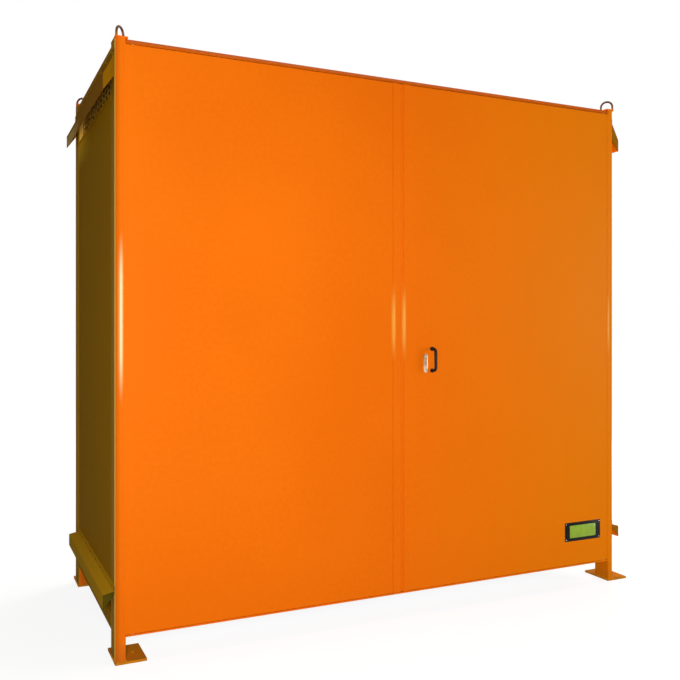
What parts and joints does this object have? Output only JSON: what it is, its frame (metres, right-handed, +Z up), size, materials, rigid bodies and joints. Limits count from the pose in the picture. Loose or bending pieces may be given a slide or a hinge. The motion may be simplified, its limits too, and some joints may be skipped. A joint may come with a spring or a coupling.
{
  "type": "site storage container",
  "caption": "Tall two-leaf steel site store on legs, with rain-hooded side vents, crane lugs, a sump floor and a grating shelf.",
  "frame": {"origin": "centre of the rectangle of four anchor holes in the foot plates, on the floor", "axes": "+X to the right of someone facing the doors, +Y towards the rear wall, +Z up"},
  "size_m": [3.254, 1.56, 3.048],
  "materials": {
    "orange_paint": "satin",
    "galvanised_steel": "matte",
    "bright_steel": "satin",
    "satin_stainless": "satin",
    "bronze": "satin",
    "black_grip": "matte",
    "black_rubber": "matte"
  },
  "bodies": {
    "frame": {"front_left_post": "orange_paint", "front_right_post": "orange_paint", "rear_left_post": "orange_paint", "rear_right_post": "orange_paint", "foot_plates": "orange_paint", "front_header": "orange_paint", "door_sill": "orange_paint", "header_beam": "orange_paint", "sill_beam": "orange_paint", "jamb_stops": "orange_paint", "left_side_rails": "orange_paint", "right_side_rails": "orange_paint", "left_wall": "orange_paint", "right_wall": "orange_paint", "rear_header": "orange_paint", "rear_sill": "orange_paint", "rear_wall": "orange_paint", "roof_sheet": "orange_paint", "roof_ribs": "orange_paint", "lug_plates": "orange_paint", "crane_lugs": "orange_paint", "left_upper_hood": "orange_paint", "left_lower_hood": "orange_paint", "right_upper_hood": "orange_paint", "right_lower_hood": "orange_paint", "sump_tray": "galvanised_steel", "floor_bearers": "galvanised_steel", "floor_gratings": "galvanised_steel", "shelf_gratings": "galvanised_steel", "shelf_beams": "galvanised_steel", "shelf_connectors": "galvanised_steel", "left_vent_grilles": "galvanised_steel", "right_vent_grilles": "galvanised_steel", "pivot_bushes": "bronze", "door_seal": "black_rubber"},
    "left_leaf": {"left_leaf_pan": "orange_paint", "left_leaf_liner": "orange_paint", "left_leaf_rails": "orange_paint", "left_pivot_pins": "bright_steel", "left_closing_strip": "orange_paint", "meeting_seal": "black_rubber", "strike_plate": "galvanised_steel", "rod_guides": "galvanised_steel", "lever_bush": "bronze"},
    "right_leaf": {"right_leaf_pan": "orange_paint", "right_leaf_liner": "orange_paint", "right_leaf_rails": "orange_paint", "right_pivot_pins": "bright_steel", "right_closing_strip": "orange_paint", "lock_case": "bright_steel", "lock_escutcheon": "satin_stainless", "pull_handle": "black_grip"},
    "lock_plug": {"lock_plug": "satin_stainless"},
    "deadbolt": {"deadbolt": "bright_steel"},
    "bolt_lever": {"bolt_lever": "black_grip", "crank_disc": "bright_steel"},
    "top_rod": {"top_rod": "bright_steel"},
    "bottom_rod": {"bottom_rod": "bright_steel"}
  },
  "joints": [
    {"name": "left_leaf_hinge", "type": "hinge", "parent": "frame", "child": "left_leaf", "pos_m": [-1.542, -0.741, 1.5], "axis": [0, 0, -1], "range_deg": [0, 105]},
    {"name": "right_leaf_hinge", "type": "hinge", "parent": "frame", "child": "right_leaf", "pos_m": [1.392, -0.741, 1.5], "axis": [0, 0, 1], "range_deg": [0, 105]},
    {"name": "deadbolt_slide", "type": "slide", "parent": "right_leaf", "child": "deadbolt", "axis": [-1, 0, 0], "range_m": [0, 0.02]},
    {"name": "lock_plug_turn", "type": "hinge", "parent": "right_leaf", "child": "lock_plug", "pos_m": [0.07925, -0.755, 1.403], "axis": [0, -1, 0], "range_deg": [0, 90]},
    {"name": "top_rod_slide", "type": "slide", "parent": "left_leaf", "child": "top_rod", "axis": [0, 0, 1], "range_m": [0, 0.025]},
    {"name": "bottom_rod_slide", "type": "slide", "parent": "left_leaf", "child": "bottom_rod", "axis": [0, 0, -1], "range_m": [0, 0.025]},
    {"name": "bolt_lever_turn", "type": "hinge", "parent": "left_leaf", "child": "bolt_lever", "pos_m": [-0.12625, -0.73, 1.15], "axis": [0, -1, 0], "range_deg": [0, 90]}
  ],
  "couplings": [
    {"joint": "lock_plug_turn", "follows": "deadbolt_slide", "rad_per_m": 78.53},
    {"joint": "bottom_rod_slide", "follows": "top_rod_slide", "ratio": 1},
    {"joint": "bolt_lever_turn", "follows": "top_rod_slide", "rad_per_m": 62.83}
  ]
}
